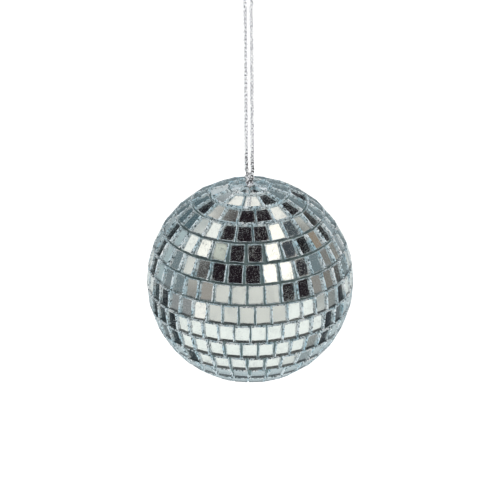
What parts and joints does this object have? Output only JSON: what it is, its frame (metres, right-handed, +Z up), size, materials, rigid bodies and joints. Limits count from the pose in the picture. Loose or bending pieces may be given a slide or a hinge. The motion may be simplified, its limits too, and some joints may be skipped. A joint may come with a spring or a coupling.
{
  "type": "mirror ball",
  "caption": "Small mirror ball covered in rows of glass mirror tiles, hanging on a knotted loop of metallic cord.",
  "frame": {"origin": "centre of the ball", "axes": "+Z up the axis the ball hangs on, towards the cord loop; +X across the loop's two strands"},
  "size_m": [0.0764, 0.0764, 0.1557],
  "materials": {
    "mirror_tile": "polished",
    "backing_gauze": "matte",
    "core_foam": "matte",
    "glue": "satin",
    "cord": "gloss"
  },
  "bodies": {
    "cord": {"cord_loop": "cord"},
    "knot": {"cord_knot": "cord"},
    "ball": {"foam_core": "core_foam", "top_pole_backing": "backing_gauze", "top_pole_tiles": "mirror_tile", "backing_strip_01": "backing_gauze", "mirror_row_01": "mirror_tile", "backing_strip_02": "backing_gauze", "mirror_row_02": "mirror_tile", "backing_strip_03": "backing_gauze", "mirror_row_03": "mirror_tile", "backing_strip_04": "backing_gauze", "mirror_row_04": "mirror_tile", "backing_strip_05": "backing_gauze", "mirror_row_05": "mirror_tile", "backing_strip_06": "backing_gauze", "mirror_row_06": "mirror_tile", "backing_strip_07": "backing_gauze", "mirror_row_07": "mirror_tile", "backing_strip_08": "backing_gauze", "mirror_row_08": "mirror_tile", "backing_strip_09": "backing_gauze", "mirror_row_09": "mirror_tile", "backing_strip_10": "backing_gauze", "mirror_row_10": "mirror_tile", "backing_strip_11": "backing_gauze", "mirror_row_11": "mirror_tile", "backing_strip_12": "backing_gauze", "mirror_row_12": "mirror_tile", "backing_strip_13": "backing_gauze", "mirror_row_13": "mirror_tile", "backing_strip_14": "backing_gauze", "mirror_row_14": "mirror_tile", "bottom_pole_backing": "backing_gauze", "bottom_pole_tiles": "mirror_tile", "glue_plug": "glue", "cord_tails": "cord"}
  },
  "joints": [
    {"name": "ball_spin", "type": "hinge", "parent": "cord", "child": "knot", "pos_m": [0, 0, 0.039], "axis": [0, 0, 1], "continuous": true},
    {"name": "ball_tilt", "type": "hinge", "parent": "knot", "child": "ball", "pos_m": [0, 0, 0.039], "axis": [1, 0, 0], "range_deg": [-60, 60]}
  ]
}
